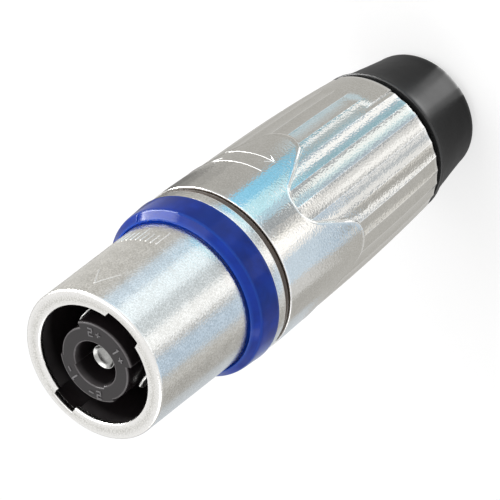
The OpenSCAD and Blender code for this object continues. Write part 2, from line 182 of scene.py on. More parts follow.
def new_group(name, inputs, outputs):
    """Shader group with named sockets, and its two end nodes."""
    group = bpy.data.node_groups.new(name, "ShaderNodeTree")
    for label, kind, value in inputs:
        socket = group.interface.new_socket(label, in_out="INPUT", socket_type=kind)
        socket.default_value = value
    for label, kind in outputs:
        group.interface.new_socket(label, in_out="OUTPUT", socket_type=kind)
    start = group.nodes.new("NodeGroupInput")
    end = group.nodes.new("NodeGroupOutput")
    start.location, end.location = (-900, 0), (700, 0)
    return group, start, end


def math_node(tree, operation, a, b, clamp=False):
    node = tree.nodes.new("ShaderNodeMath")
    node.operation = operation
    node.use_clamp = clamp
    for i, value in enumerate((a, b)):
        if isinstance(value, (int, float)):
            node.inputs[i].default_value = value
        else:
            tree.links.new(value, node.inputs[i])
    return node.outputs[0]


def noise_node(tree, vector, scale, detail=2.0, roughness=0.5):
    node = tree.nodes.new("ShaderNodeTexNoise")
    node.inputs["Detail"].default_value = detail
    node.inputs["Roughness"].default_value = roughness
    tree.links.new(vector, node.inputs["Vector"])
    if isinstance(scale, (int, float)):
        node.inputs["Scale"].default_value = scale
    else:
        tree.links.new(scale, node.inputs["Scale"])
    return node.outputs["Fac"]


def range_node(tree, value, low, high, to_low, to_high):
    node = tree.nodes.new("ShaderNodeMapRange")
    node.interpolation_type = "SMOOTHSTEP"
    tree.links.new(value, node.inputs["Value"])
    for label, number in (("From Min", low), ("From Max", high), ("To Min", to_low), ("To Max", to_high)):
        if isinstance(number, (int, float)):
            node.inputs[label].default_value = number
        else:
            tree.links.new(number, node.inputs[label])
    return node.outputs["Result"]


def mix_colour(tree, factor, first, second):
    node = tree.nodes.new("ShaderNodeMix")
    node.data_type = "RGBA"
    for label, value in (("Factor", factor), ("A", first), ("B", second)):
        if isinstance(value, (int, float, tuple)):
            node.inputs[label].default_value = value
        else:
            tree.links.new(value, node.inputs[label])
    return node.outputs["Result"]


def edge_highlight(tree):
    """Sharpness of the edges, as mark_edges stored it."""
    node = tree.nodes.new("ShaderNodeAttribute")
    node.attribute_name = "edge_highlight"
    return node.outputs["Fac"]


# Depths of the relief, in metres
PIT_DEPTH, TEXTURE_DEPTH = 0.00006, 0.00003


def build_cast_grain():
    """Skin of a tumbled and plated casting: fine pits, soft cloudiness and edges lightened as a painted
    highlight.
    """
    group, start, end = new_group(
        "cast_grain",
        [("Grain", "NodeSocketFloat", 2600.0), ("Smooth", "NodeSocketFloat", 0.25),
         ("Rough", "NodeSocketFloat", 0.4), ("Relief", "NodeSocketFloat", 0.3)],
        [("Roughness", "NodeSocketFloat"), ("Normal", "NodeSocketVector"), ("Mask", "NodeSocketFloat"),
         ("Edge highlight", "NodeSocketFloat")])
    place = group.nodes.new("ShaderNodeTexCoord").outputs["Object"]
    grain = noise_node(group, place, start.outputs["Grain"], 3.0, 0.6)
    pits = noise_node(group, place, math_node(group, "MULTIPLY", start.outputs["Grain"], 0.8), 0.4)
    coarse = noise_node(group, place, math_node(group, "MULTIPLY", start.outputs["Grain"], 0.12), 2.0)
    blended = math_node(group, "ADD", math_node(group, "MULTIPLY", grain, 0.8),
                        math_node(group, "MULTIPLY", coarse, 0.2))
    # Painted highlight: lighter colour along sharp edges, patchy with the grain
    highlight_patches = range_node(group, grain, 0.25, 0.5, 0.6, 1.0)
    group.links.new(math_node(group, "MULTIPLY", edge_highlight(group), highlight_patches), end.inputs["Edge highlight"])
    roughness = range_node(group, blended, 0.35, 0.65, start.outputs["Smooth"], start.outputs["Rough"])
    bump = group.nodes.new("ShaderNodeBump")
    bump.inputs["Distance"].default_value = PIT_DEPTH
    group.links.new(start.outputs["Relief"], bump.inputs["Strength"])
    group.links.new(pits, bump.inputs["Height"])
    group.links.new(roughness, end.inputs["Roughness"])
    group.links.new(bump.outputs["Normal"], end.inputs["Normal"])
    group.links.new(range_node(group, blended, 0.4, 0.62, 0.0, 1.0), end.inputs["Mask"])
    return group


def build_moulded_skin():
    """Skin of a moulded plastic or rubber part: soft mottling, fine texture and edges lightened as a painted
    highlight.
    """
    group, start, end = new_group(
        "moulded_skin",
        [("Colour", "NodeSocketColor", (0.1, 0.1, 0.1, 1)),
         ("Highlight colour", "NodeSocketColor", (0.2, 0.2, 0.2, 1)),
         ("Texture", "NodeSocketFloat", 3200.0), ("Relief", "NodeSocketFloat", 0.1),
         ("Smooth", "NodeSocketFloat", 0.3), ("Rough", "NodeSocketFloat", 0.45)],
        [("Colour", "NodeSocketColor"), ("Roughness", "NodeSocketFloat"), ("Normal", "NodeSocketVector")])
    place = group.nodes.new("ShaderNodeTexCoord").outputs["Object"]
    fine = noise_node(group, place, start.outputs["Texture"], 2.0)
    broad = noise_node(group, place, 260.0, 3.0)
    # Painted highlight: lighter colour along sharp edges, patchy with the broad noise
    highlight_amount = math_node(group, "MULTIPLY", edge_highlight(group), broad, clamp=True)
    mottle = range_node(group, broad, 0.3, 0.7, 0.0, 0.35)
    shade = mix_colour(group, mottle, start.outputs["Colour"], (0.0, 0.0, 0.0, 1))
    colour = mix_colour(group, highlight_amount, shade, start.outputs["Highlight colour"])
    bump = group.nodes.new("ShaderNodeBump")
    bump.inputs["Distance"].default_value = TEXTURE_DEPTH
    group.links.new(start.outputs["Relief"], bump.inputs["Strength"])
    group.links.new(fine, bump.inputs["Height"])
    group.links.new(colour, end.inputs["Colour"])
    group.links.new(range_node(group, broad, 0.3, 0.7, start.outputs["Smooth"], start.outputs["Rough"]),
                    end.inputs["Roughness"])
    group.links.new(bump.outputs["Normal"], end.inputs["Normal"])
    return group


CAST_GRAIN = build_cast_grain()
MOULDED_SKIN = build_moulded_skin()


def new_material(name):
    """Material with its node tree and its Principled shader."""
    material = bpy.data.materials.new(name)
    material.use_nodes = True
    return material, material.node_tree, material.node_tree.nodes["Principled BSDF"]


def plated_finish(name, tint, dark_tint, grain, smooth, rough, relief, highlight_tint=(0.9, 0.895, 0.88)):
    """Plated metal whose colour and gloss follow the grain of the casting, brighter along its edges as a
    painted highlight.
    """
    material, tree, shader = new_material(name)
    skin = tree.nodes.new("ShaderNodeGroup")
    skin.node_tree = CAST_GRAIN
    for label, value in (("Grain", grain), ("Smooth", smooth), ("Rough", rough), ("Relief", relief)):
        skin.inputs[label].default_value = value
    grained = mix_colour(tree, skin.outputs["Mask"], (*dark_tint, 1), (*tint, 1))
    highlighted = mix_colour(tree, skin.outputs["Edge highlight"], grained, (*highlight_tint, 1))
    tree.links.new(highlighted, shader.inputs["Base Color"])
    tree.links.new(skin.outputs["Roughness"], shader.inputs["Roughness"])
    tree.links.new(skin.outputs["Normal"], shader.inputs["Normal"])
    shader.inputs["Metallic"].default_value = 1.0
    return material


def moulded_finish(name, colour, edge, texture, relief, smooth, rough, gloss=0.5):
    """Moulded plastic or rubber, lighter along its edges as a painted highlight."""
    material, tree, shader = new_material(name)
    skin = tree.nodes.new("ShaderNodeGroup")
    skin.node_tree = MOULDED_SKIN
    for label, value in (("Colour", (*colour, 1)), ("Highlight colour", (*edge, 1)), ("Texture", texture),
                         ("Relief", relief), ("Smooth", smooth), ("Rough", rough)):
        skin.inputs[label].default_value = value
    tree.links.new(skin.outputs["Colour"], shader.inputs["Base Color"])
    tree.links.new(skin.outputs["Roughness"], shader.inputs["Roughness"])
    tree.links.new(skin.outputs["Normal"], shader.inputs["Normal"])
    shader.inputs["Specular IOR Level"].default_value = gloss
    return material


nickel = plated_finish("satin_nickel_plating", (0.78, 0.77, 0.74), (0.59, 0.58, 0.55), grain=3700.0,
                       smooth=0.16, rough=0.27, relief=0.3, highlight_tint=(0.83, 0.82, 0.8))
grip_nickel = plated_finish("smooth_nickel_plating", (0.73, 0.72, 0.69), (0.65, 0.64, 0.61), grain=3600.0,
                            smooth=0.09, rough=0.16, relief=0.34)
# The raised marks are lighter than the plating they stand on: a painted highlight where they catch the light
raised_nickel = plated_finish("raised_plated_marks", (0.82, 0.81, 0.78), (0.68, 0.67, 0.64), grain=3200.0,
                              smooth=0.2, rough=0.3, relief=0.1)
contact_silver = plated_finish("silver_plated_contact", (0.8, 0.79, 0.77), (0.62, 0.61, 0.6), grain=1500.0,
                               smooth=0.36, rough=0.5, relief=0.1)
# The pin is dark grey as painted shade for its place deep in the hole
pin_plating_painted_shade = plated_finish("plated_pin_painted_shade", (0.42, 0.42, 0.41), (0.34, 0.34, 0.33), grain=900.0,
                            smooth=0.2, rough=0.26, relief=0.04, highlight_tint=(0.6, 0.6, 0.59))
clamp_brass = plated_finish("turned_clamp_brass", (0.85, 0.66, 0.33), (0.7, 0.5, 0.22), grain=1800.0,
                            smooth=0.2, rough=0.35, relief=0.15, highlight_tint=(0.95, 0.82, 0.5))
spring_steel = plated_finish("spring_and_screw_steel", (0.68, 0.68, 0.69), (0.5, 0.5, 0.52), grain=2000.0,
                             smooth=0.2, rough=0.35, relief=0.15)
# The second colour of each moulded finish is a painted highlight along its edges
ring_blue = moulded_finish("gloss_blue_ring", (0.006, 0.047, 0.45), (0.02, 0.1, 0.54), texture=1500.0,
                           relief=0.03, smooth=0.1, rough=0.17, gloss=0.2)
socket_black = moulded_finish("black_socket_moulding", (0.012, 0.009, 0.01), (0.2, 0.185, 0.19),
                              texture=2600.0, relief=0.15, smooth=0.3, rough=0.42)
# The raised signs are lighter than the insert and lighter still at their edges: a painted highlight where
# they catch the light
mark_black = moulded_finish("raised_marks_painted_highlight", (0.05, 0.046, 0.048), (0.32, 0.31, 0.32),
                            texture=2600.0, relief=0.15, smooth=0.3, rough=0.42)
block_grey = moulded_finish("grey_terminal_moulding", (0.12, 0.12, 0.13), (0.2, 0.2, 0.21),
                            texture=2200.0, relief=0.1, smooth=0.35, rough=0.5)
chuck_white = moulded_finish("natural_chuck_nylon", (0.62, 0.6, 0.54), (0.75, 0.74, 0.7),
                             texture=1800.0, relief=0.12, smooth=0.35, rough=0.5)
seal_rubber = moulded_finish("dull_seal_rubber", (0.075, 0.048, 0.03), (0.12, 0.09, 0.07),
                             texture=2600.0, relief=0.2, smooth=0.4, rough=0.55)
boot_rubber = moulded_finish("satin_boot_rubber", (0.011, 0.011, 0.011), (0.045, 0.045, 0.045),
                             texture=3400.0, relief=0.1, smooth=0.3, rough=0.4)


# Housing

# Keyways of the rim have parallel sides: angle of the middle and half the width
KEYWAYS = ((-90.0, 3.2), (90.0, 2.0))
# Columns this near to a keyway's side, in degrees, move to just inside or just outside of it
KEY_SNAP, KEY_STEP = 0.49, 0.04


def key_angle(angle):
    """True where the rim is cut away for the plug's keys."""
    return any(abs((angle - middle + 180) % 360 - 180) < math.degrees(math.asin(half / MOUTH_R))
               for middle, half in KEYWAYS)


# From the mouth over the rim, down the barrel to the ring's seat, the flange and the thread, and back inside
SHELL_ROWS = [
    (MOUTH_R, 0.42), (10.27, 0.3), (10.34, 0.16), (10.45, 0.06), (10.57, 0.015), (10.65, 0.0), (11.4, 0.0),
    (12.45, 0.0), (12.55, 0.015), (12.67, 0.055), (12.78, 0.12), (12.87, 0.2), (12.93, 0.31), (12.965, 0.44),
    (12.975, 0.6), (12.96, 0.8), (12.955, 1.2), (12.965, 2.4), (12.975, 5.0), (12.99, 9.0), (13.01, 13.0),
    (13.03, 17.0), (13.05, 20.0), (13.05, 22.15), (13.03, 22.3), (12.96, 22.4), (SEAT_R, 22.42),
    (SEAT_R, FLANGE_AT), (14.6, FLANGE_AT), (14.69, 28.32), (14.73, 28.37), (FLANGE_R, 28.5),
    (FLANGE_R, 29.9), (14.72, 30.05), (14.65, 30.16), (14.5, NECK_AT), (NECK_R, NECK_AT), (NECK_R, 31.9),
    (12.4, 32.2), (12.38, 36.0), (12.38, THREAD_END), (BORE_R, THREAD_END), (BORE_R, 20.0), (BORE_R, 1.02),
    (11.86, 1.0), (10.5, 1.0), (10.32, 0.94), (MOUTH_R, 0.8)]
SHELL_STEPS = 720


def place_shell(row, column):
    """Radius, depth and angle of a point of the housing, with the keyways cut into the rim."""
    radius, depth = SHELL_ROWS[row]
    angle = column * 360.0 / SHELL_STEPS
    angle = angle - 360.0 if angle > 180.0 else angle
    for middle, half in KEYWAYS:
        tip = math.degrees(math.asin(half / MOUTH_R))
        off = angle - middle
        if abs(abs(off) - tip) < KEY_SNAP:
            off = math.copysign(tip + math.copysign(KEY_STEP, abs(off) - tip), off)
        if abs(off) < tip and radius < BORE_R:
            radius = KEYWAY_R + (radius - MOUTH_R) * (BORE_R - KEYWAY_R) / (BORE_R - MOUTH_R)
            off *= math.degrees(math.asin(half / radius)) / tip
        angle = middle + off
    return radius, depth, math.radians(angle)


add_piece("housing_barrel", shaped_tube(len(SHELL_ROWS), SHELL_STEPS, place_shell), "housing", nickel,
          ("front_shell",))

# Two claws, between which the chuck's keys slide
CLAW_ROWS = [(BORE_R, 39.7), (12.38, 39.7), (12.7, 40.0), (NECK_R, 40.2), (NECK_R, 45.5), (12.35, NECK_END),
             (BORE_R, NECK_END)]
SLOT_W, CLAW_MIDDLE_R = 2.6, 12.3
SLOT_ANGLE = math.degrees(SLOT_W / CLAW_MIDDLE_R)
claws = [lathe(CLAW_ROWS, 90, closed=True, angle=180 - SLOT_ANGLE, start=turn + SLOT_ANGLE / 2)
         for turn in (0, 180)]
add_piece("housing_neck_claws", join(*claws), "housing", nickel)


def thread(root, crest, front, back, pitch, steps_per_turn=96):
    """Screw thread: one tooth section swept down a helix."""
    bm = bmesh.new()
    section = [(root, 0.0), (crest, 0.3 * pitch), (crest, 0.5 * pitch), (root, 0.8 * pitch)]
    line = [bm.verts.new((r, 0, -front - d)) for r, d in section]
    face = bm.faces.new(line)
    turns = (back - front - 0.8 * pitch) / pitch
    steps = round(turns * steps_per_turn)
    bmesh.ops.spin(bm, geom=[face], cent=(0, 0, 0), axis=(0, 0, 1), dvec=(0, 0, -pitch / steps_per_turn),
                   angle=math.radians(360.0 * turns), steps=steps, use_merge=False, use_duplicate=False)
    return bm


add_piece("housing_thread", thread(12.3, 12.72, 32.3, 39.6, 1.5), "housing", nickel)


def wrap_bars(bars, width, height, radius_at, sink=0.03):
    """Straight bars laid on the surface, narrower at the top: each runs between two (angle, depth) points."""
    pieces = []
    for (a0, d0), (a1, d1) in bars:
        middle_r = radius_at((d0 + d1) / 2)
        run = Vector((math.radians(a1 - a0) * middle_r, d1 - d0))
        bm = bmesh.new()
        bmesh.ops.create_grid(bm, x_segments=max(2, round(run.length / 0.5)), y_segments=2, size=0.5)
        bmesh.ops.scale(bm, vec=(run.length + width, width, 1), verts=bm.verts)
        top = bmesh.ops.extrude_face_region(bm, geom=bm.faces[:])
        raised = [v for v in top["geom"] if isinstance(v, bmesh.types.BMVert)]
        bmesh.ops.translate(bm, vec=(0, 0, height + sink), verts=raised)
        bmesh.ops.scale(bm, vec=(1 - 0.25 * width / run.length, 0.6, 1), verts=raised)
        lean = math.atan2(run.y, run.x)
        for vert in bm.verts:
            along = vert.co.x * math.cos(lean) - vert.co.y * math.sin(lean)
            across = vert.co.x * math.sin(lean) + vert.co.y * math.cos(lean)
            depth = (d0 + d1) / 2 + across
            angle = math.radians((a0 + a1) / 2) + along / middle_r
            radius = radius_at(depth) + vert.co.z - sink
            vert.co = (radius * math.cos(angle), radius * math.sin(angle), -depth)
        pieces.append(bm)
    return join(*pieces)


# Arrow head behind the rim, and a scale of ticks in front of the ring
ARROW_AT, ARROW_SPREAD, ARROW_TIP, ARROW_FOOT = -49.7, 8.9, 3.2, 6.9
arrow = [((ARROW_AT, ARROW_TIP), (ARROW_AT + lean, ARROW_FOOT)) for lean in (-ARROW_SPREAD, ARROW_SPREAD)]
add_piece("barrel_arrow_mark", wrap_bars(arrow, 0.34, 0.05, lambda depth: 12.965), "housing", raised_nickel)

SCALE_AT, TICK_STEP, TICKS = -38.7, 4.4, 9
SCALE_FRONT, SHORT_TICK, LONG_TICK = 16.9, 19.0, 20.5
scale_bars = []
for i in range(TICKS):
    angle = SCALE_AT + TICK_STEP * (i - TICKS // 2)
    scale_bars.append(((angle, SCALE_FRONT), (angle, LONG_TICK if i % 4 == 0 else SHORT_TICK)))
add_piece("barrel_index_scale", wrap_bars(scale_bars, 0.26, 0.05, lambda depth: 13.03), "housing",
          raised_nickel)

# Front edge with a groove beside the barrel, the sloping front, the long outside and the back at the flange
ring_outline = [
    (SEAT_R, 23.0), (13.08, 23.0), (13.13, 22.95), (13.34, 22.6), (13.39, 22.53), (13.46, RING_AT),
    (13.54, 22.53), (13.62, 22.61), (13.9, 22.98), (14.48, 23.56), (14.6, 23.71), (14.68, 23.88),
    (14.73, 24.1), (14.77, 24.5), (14.86, 26.4), (14.94, 27.6), (RING_R, 27.9), (14.92, 28.08),
    (14.84, 28.21), (14.7, 28.28), (SEAT_R, FLANGE_AT)]
add_piece("colour_ring", lathe(ring_outline, 576, closed=True), "housing", ring_blue,
          ("marking_ring",))

# Fine rib that the mould leaves on the ring's slope
RIB_LEAN, RIB_R, RIB_AT, RIB_ANGLE = -44.4, 14.07, 23.08, FACING + 79
rib = turned(bar((0.26, 0.24, 1.25), (0, 0, 0), 0.05), RIB_LEAN, "Y")
bmesh.ops.translate(rib, vec=(RIB_R, 0, -RIB_AT), verts=rib.verts)
add_piece("ring_moulding_rib", turned(rib, RIB_ANGLE), "housing", ring_blue)

seal_outline = [
    (NECK_R, NECK_AT), (14.26, NECK_AT), (14.42, 30.26), (NECK_SEAL_R, 30.4), (NECK_SEAL_R, 31.1),
    (14.42, 31.24), (14.26, 31.3), (NECK_R, 31.3)]
add_piece("neck_joint_seal", lathe(seal_outline, 360, closed=True), "housing", seal_rubber,
          ("neck_seal",))


# Contact insert

# Arcs of the core's face: from angle, to angle and radius, with gaps between them for the inner blades
CORE_EDGES = ((-130.7, -32.1, BROAD_R), (39.3, 153.5, NARROW_R))
# Columns this near to the end of an arc, in degrees, move to just beside it
ARC_SNAP, ARC_STEP = 1.0, 0.08
# The hole is a little wider over part of its round
RELIEF, RELIEF_AT, RELIEF_HALF = 0.3, 99.8, 45.5
# From the back round the outside and the liner to the core and its hole, where core and hole rows add to
# the radius that the core or the hole has at that angle
INSERT_ROWS = [
    (0.0, INSERT_END), (11.7, INSERT_END), (INSERT_R, 26.85), (INSERT_R, 1.05), (11.8, INSERT_AT),
    (LUG_R, INSERT_AT), (LUG_R, 4.6), (11.32, 5.1), (10.72, 8.6), (LINER_R, 9.4), (LINER_R, 23.7),
    (10.45, 23.9), (10.25, CUP_FLOOR), ("core", 0.35, CUP_FLOOR), ("core", 0.12, 23.92), ("core", 0.0, 23.7),
    ("core", 0.0, 12.0), ("core", 0.0, 1.0), ("core", 0.0, 0.68), ("core", -0.04, 0.58),
    ("core", -0.12, 0.52), ("core", -0.22, CORE_TOP), ("core", -0.27, CORE_TOP), (5.2, CORE_TOP),
    (4.55, CORE_TOP), ("hole", 0.22, CORE_TOP), ("hole", 0.17, CORE_TOP), ("hole", 0.07, 0.53),
    ("hole", 0.0, 0.62), ("hole", 0.0, 2.0), (3.88, 4.4), (3.86, 5.0), (3.8, 8.9), (3.7, 9.0), (0.0, 9.0)]
# The liner's front edge lies deeper in the keyways
KEYWAY_LEDGE = {(11.8, INSERT_AT): 1.5, (LUG_R, INSERT_AT): 4.4}
INSERT_STEPS = 360


def core_radius(angle):
    """Radius of the core, which is narrower in the gaps between its arcs."""
    for start, end, radius in CORE_EDGES:
        if start < angle < end:
            return radius
    return WAIST_R


def place_insert(row, column):
    """Radius, depth and angle of a point of the insert."""
    entry = INSERT_ROWS[row]
    angle = column * 360.0 / INSERT_STEPS
    angle = angle - 360.0 if angle > 180.0 else angle
    snapped = angle
    for start, end, radius in CORE_EDGES:
        for edge in (start, end):
            if abs(angle - edge) <= ARC_SNAP:
                snapped = edge + math.copysign(ARC_STEP, angle - edge)
    if entry in KEYWAY_LEDGE and key_angle(angle):
        return entry[0], KEYWAY_LEDGE[entry], math.radians(snapped)
    if entry[0] == "core":
        return core_radius(angle) + entry[1], entry[2], math.radians(snapped)
    if entry[0] == "hole":
        relief = RELIEF if abs(angle - RELIEF_AT) < RELIEF_HALF else 0.0
        return HOLE_R + relief + entry[1], entry[2], math.radians(snapped)
    return max(entry[0], 0.001), entry[1], math.radians(snapped)


add_piece("socket_insert", shaped_tube(len(INSERT_ROWS), INSERT_STEPS, place_insert), "housing", socket_black,
          ("contact_insert",))

# Signs of the contacts as straight bars: across, up, width and height, in parts of the sign's height
SIGNS = {
    "1": [(0.0, 0.0, 0.16, 1.0), (-0.12, 0.36, 0.2, 0.14)],
    "2": [(0.0, 0.43, 0.6, 0.14), (0.23, 0.21, 0.14, 0.5), (0.0, 0.0, 0.6, 0.14),
          (-0.23, -0.21, 0.14, 0.5), (0.0, -0.43, 0.6, 0.14)],
    "+": [(0.0, 0.0, 0.62, 0.14), (0.0, 0.0, 0.14, 0.62)],
    "-": [(0.0, 0.0, 0.6, 0.14)],
}
SIGN_HEIGHT, SIGN_RISE = 1.5, 0.14
# Number, pole, and the radius and angle of the pair on the core's face
POLES = (("1", "+", 5.7, -112), ("2", "+", 5.7, -58), ("1", "-", 5.6, 70), ("2", "-", 5.6, 122))
SIGN_APART = 7.5


def raised_sign(sign, radius, angle):
    """One raised sign, whose top points away from the axis."""
    bars = []
    for across, up, width, height in SIGNS[sign]:
        size = (height * SIGN_HEIGHT, width * SIGN_HEIGHT, 2 * SIGN_RISE)
        bars.append(bar(size, (radius + up * SIGN_HEIGHT, -across * SIGN_HEIGHT, -CORE_TOP), 0.05))
    return turned(join(*bars), angle)


pole_signs = []
for number, pole, radius, angle in POLES:
    pole_signs.append(raised_sign(number, radius, angle + SIGN_APART))
    pole_signs.append(raised_sign(pole, radius, angle - SIGN_APART))
add_piece("socket_pole_marks", join(*pole_signs), "housing", mark_black)

# Riveted end, a shallow cup at the front, then the stem and the head behind the block
CUP_R, STEM_R, RIVET_HEAD_R = 2.08, 1.2, 2.6
pin_outline = [
    (0.0, 2.98), (0.5, 2.99), (1.0, 3.03), (1.35, 3.07), (1.48, 3.07), (1.58, 3.03), (1.9, 2.79),
    (1.96, 2.75), (2.02, 2.75), (2.06, 2.79), (CUP_R, 2.9), (CUP_R, 9.0), (STEM_R, 9.0), (STEM_R, 39.5),
    (2.45, 39.5), (RIVET_HEAD_R, 39.65), (RIVET_HEAD_R, 40.3), (2.45, 40.5), (0.0, 40.5)]
add_piece("centre_pin", lathe(pin_outline, 96), "housing", pin_plating_painted_shade, ("centre_rivet",))


def contact_blade(outline, angle, tip_bevel):
    """Stamped strip: an outline of (radius, depth) points, widened, with bevelled tip and broken edges."""
    bm = bmesh.new()
    line = [bm.verts.new((r, -BLADE_W / 2, -d)) for r, d in outline]
    side = bm.faces.new(line)
    widened = bmesh.ops.extrude_face_region(bm, geom=[side])
    moved = [v for v in widened["geom"] if isinstance(v, bmesh.types.BMVert)]
    bmesh.ops.translate(bm, vec=(0, BLADE_W, 0), verts=moved)
    bmesh.ops.recalc_face_normals(bm, faces=bm.faces)
    tip = outline[0][1]
    corners = [e for e in bm.edges if all(abs(v.co.z + tip) < 1e-6 for v in e.verts)
               and abs(e.verts[0].co.y - e.verts[1].co.y) < 1e-6]
    bmesh.ops.bevel(bm, geom=corners, offset=tip_bevel, offset_type="OFFSET", segments=1, profile=0.5,
                    affect="EDGES", material=-1)
    bmesh.ops.bevel(bm, geom=bm.edges[:], offset=0.05, offset_type="OFFSET", segments=2, profile=0.5,
                    affect="EDGES", material=-1)
    return turned(bm, angle)


def inner_outline(tip_in, tip):
    """Outline of an inner blade, whose tip starts at its own radius and depth."""
    return [(tip_in, tip), (BLADE_OUT, tip), (BLADE_OUT, CONTACT_END), (BLADE_IN, CONTACT_END),
            (BLADE_IN, 14.0)]


OUTER_OUTLINE = [(10.0, 6.5), (10.35, 6.5), (10.45, 8.0), (10.45, 27.8), (BLADE_OUT, 27.8),
                 (BLADE_OUT, CONTACT_END), (BLADE_IN, CONTACT_END), (BLADE_IN, 27.0), (9.65, 27.0),
                 (9.65, 12.0)]
# Piece, the node it stands for, outline, angle and how far the tip's corners are cut
BLADES = (("blade_1p", "contact_1p", inner_outline(6.95, 5.1), 2.0, 1.7),
          ("blade_1n", "contact_1n", inner_outline(6.8, 3.7), 187.4, 1.5),
          ("blade_2p", "contact_2p", OUTER_OUTLINE, -90, 0.4),
          ("blade_2n", "contact_2n", OUTER_OUTLINE, 90, 0.4))
for name, node, outline, angle, tip_bevel in BLADES:
    add_piece(name, contact_blade(outline, angle, tip_bevel), "housing", contact_silver,
              (node,))


# Grip

FLUTES, FLUTE_COLUMNS = 32, 18
GRIP_STEPS = FLUTES * FLUTE_COLUMNS
ARCH_SHIFT = -99.7
PANEL_DEPTH, FLUTE_DEPTH, LIP_RISE = 0.1, 0.17, 0.04
# A panel's edge runs round a crown, down a straight flank and round the tongue between two panels
ARCH_TOP, ARCH_DROP, ARCH_R = GRIP_AT + 8.6, 12, 14.35
CROWN_R, TONGUE_R, TONGUE_X = 4.3, 3.0, 10.0
CROWN_AT = ARCH_TOP + CROWN_R
TONGUE_AT = ARCH_TOP + ARCH_DROP - TONGUE_R
FLANK = (math.acos((CROWN_R + TONGUE_R) / math.hypot(TONGUE_X, TONGUE_AT - CROWN_AT))
         - math.atan2(TONGUE_AT - CROWN_AT, TONGUE_X))
# Smooth pads at the rear edge: angle of the first, half the width, where they begin and how fast
PAD_AT, PAD_HALF, PAD_FRONT, PAD_FADE = -51.0, 22.5, 67.7, 1.8
BODY_CURVE = [(GRIP_AT, 14.81), (34.0, 14.78), (38.0, 14.66), (42.0, 14.55), (48.0, 14.42), (54.0, 14.27),
              (60.0, 14.04), (66.0, 13.71), (71.0, 13.35), (GRIP_END, 13.01)]


def body_radius(depth):
    """Radius of the grip without its flutes."""
    return curve_value(BODY_CURVE, depth)


def arch_line(angle):
    """Depth of the panels' edge at an angle from the middle of a panel, and how steep the edge is there."""
    x = ARCH_R * math.sin(math.radians(abs(angle)))
    near_x, far_x = CROWN_R * math.cos(FLANK), TONGUE_X - TONGUE_R * math.cos(FLANK)
    near_d, far_d = CROWN_AT - CROWN_R * math.sin(FLANK), TONGUE_AT + TONGUE_R * math.sin(FLANK)
    if x <= near_x:
        drop = math.sqrt(CROWN_R ** 2 - x ** 2)
        return CROWN_AT - drop, math.hypot(1, x / drop)
    if x >= far_x:
        side = min(abs(TONGUE_X - x), TONGUE_R * 0.99)
        drop = math.sqrt(TONGUE_R ** 2 - side ** 2)
        return TONGUE_AT + drop, math.hypot(1, side / drop)
    slope = (far_d - near_d) / (far_x - near_x)
    return near_d + (x - near_x) * slope, math.hypot(1, slope)


# Ends of the grip: depth and how far the rounding lies inside the body
FRONT_EDGE = [(GRIP_AT, 0.4), (GRIP_AT, 0.1), (31.42, 0.05), (31.46, 0.02), (31.52, 0.0), (31.85, 0.0)]
REAR_EDGE = [(74.85, 0.0), (75.0, 0.05), (75.12, 0.14), (GRIP_END, 0.28)]
SMOOTH_ROWS, RUN_ROWS, REAR_ROWS = 22, 20, 6
# The panels' edge in section: how far behind the arch line, how deep, and how much of the flutes has begun
LIP = [(-0.2, 0.0, 0.0), (-0.14, -0.35, 0.0), (-0.08, -0.8, 0.0), (-0.02, -1.0, 0.0), (0.04, -0.9, 0.2),
       (0.1, -0.5, 0.5), (0.17, 0.2, 0.8), (0.25, 1.0, 1.0), (0.34, 1.8, 1.0), (0.45, 2.3, 1.0),
       (0.6, 2.5, 1.0)]
PAD_STOPS = [PAD_FRONT + PAD_FADE * i / 6 for i in range(7)]
GRIP_INSIDE = [(10.45, GRIP_END), (GRIP_SEAT_R, 75.05), (GRIP_SEAT_R, BEAD_BACK), (BEAD_R, BEAD_BACK),
               (BEAD_R, BEAD_FRONT), (GRIP_SEAT_R, BEAD_FRONT), (GRIP_SEAT_R, 67.5), (12.1, 58.4),
               (12.1, 47.0), (12.8, 46.4), (12.8, 31.7), (13.05, 31.42)]
OUTER_ROWS = len(FRONT_EDGE) + SMOOTH_ROWS + len(LIP) + RUN_ROWS + len(PAD_STOPS) + REAR_ROWS + len(REAR_EDGE)


def steps_between(start, end, count):
    """Evenly spaced depths between two others."""
    return [start + (end - start) * (i + 1) / (count + 1) for i in range(count)]


def grip_rows(arch, steep):
    """Outer rows of one column: depth, rounding, depth below the body and share of the flutes."""
    front, back, end = FRONT_EDGE[-1][0], PAD_STOPS[-1], REAR_EDGE[0][0]
    first, last = arch + LIP[0][0] * steep, arch + LIP[-1][0] * steep
    rows = [(depth, inset, 0.0, 0.0) for depth, inset in FRONT_EDGE]
    rows += [(depth, 0.0, 0.0, 0.0) for depth in steps_between(front, first, SMOOTH_ROWS)]
    rows += [(arch + behind * steep, 0.0, below * LIP_RISE, share) for behind, below, share in LIP]
    rows += [(depth, 0.0, PANEL_DEPTH, 1.0) for depth in steps_between(last, PAD_STOPS[0], RUN_ROWS)]
    rows += [(depth, 0.0, PANEL_DEPTH, 1.0) for depth in PAD_STOPS]
    rows += [(depth, 0.0, PANEL_DEPTH, 1.0) for depth in steps_between(back, end, REAR_ROWS)]
    rows += [(depth, inset, PANEL_DEPTH, 1.0) for depth, inset in REAR_EDGE]
    return rows


